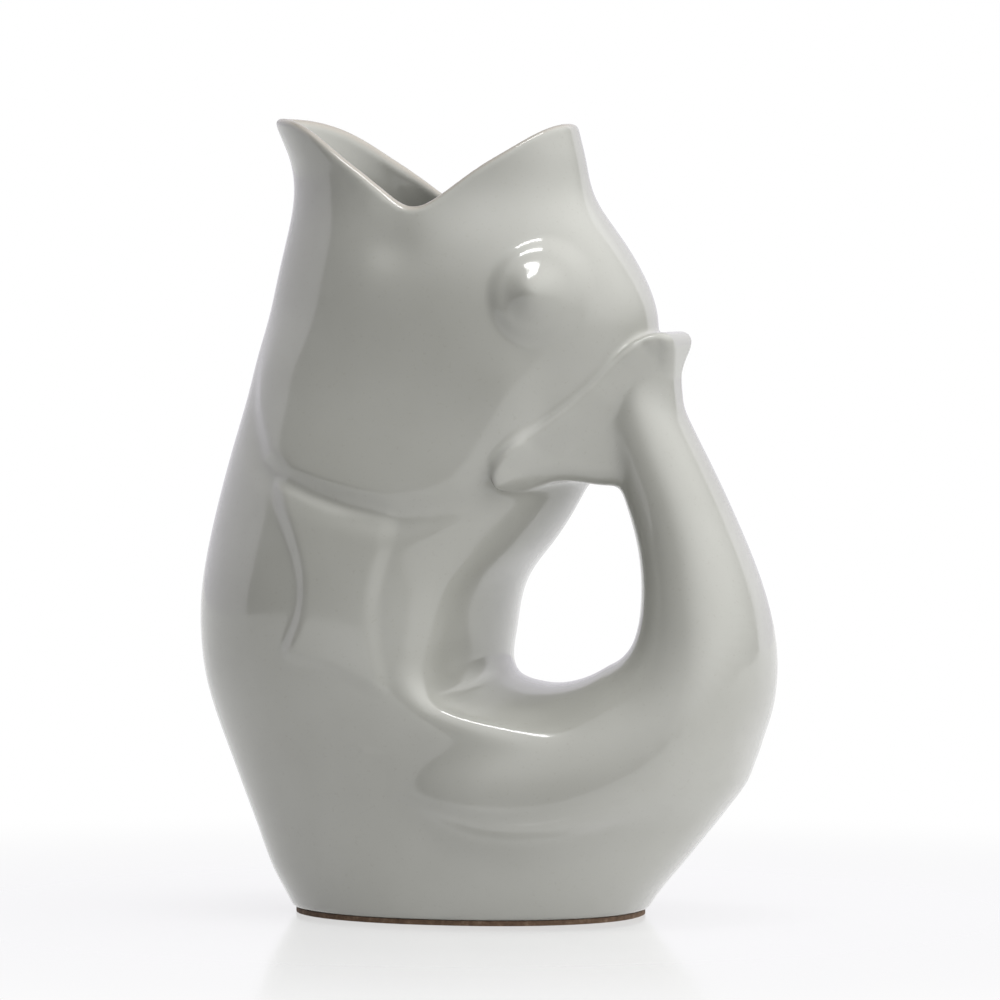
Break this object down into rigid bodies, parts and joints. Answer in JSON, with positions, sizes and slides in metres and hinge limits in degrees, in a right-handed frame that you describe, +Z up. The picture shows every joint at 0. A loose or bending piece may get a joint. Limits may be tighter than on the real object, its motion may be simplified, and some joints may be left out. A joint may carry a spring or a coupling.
{
  "type": "fish-shaped gurgle jug",
  "caption": "Glazed stoneware jug shaped like an upright fish: open mouth with a pointed pouring lip, hollow curled tail as handle, raised fins and eyes, flat foot.",
  "frame": {"origin": "centre of the oval foot, on the surface that the jug stands on", "axes": "+Z up, pouring lip towards -X, tail handle towards +X, the jug is alike on both sides of the plane y = 0"},
  "size_m": [0.1873, 0.117, 0.2541],
  "materials": {
    "glaze": "glossy warm light grey glaze",
    "bare_stoneware": "bare fired brown stoneware"
  },
  "bodies": {
    "root": {"body": "glaze", "tail_handle": "glaze", "tail_fin": "glaze", "left_pectoral_fin": "glaze", "right_pectoral_fin": "glaze", "left_eye": "glaze", "right_eye": "glaze", "foot_ring": "bare_stoneware"}
  },
  "joints": []
}
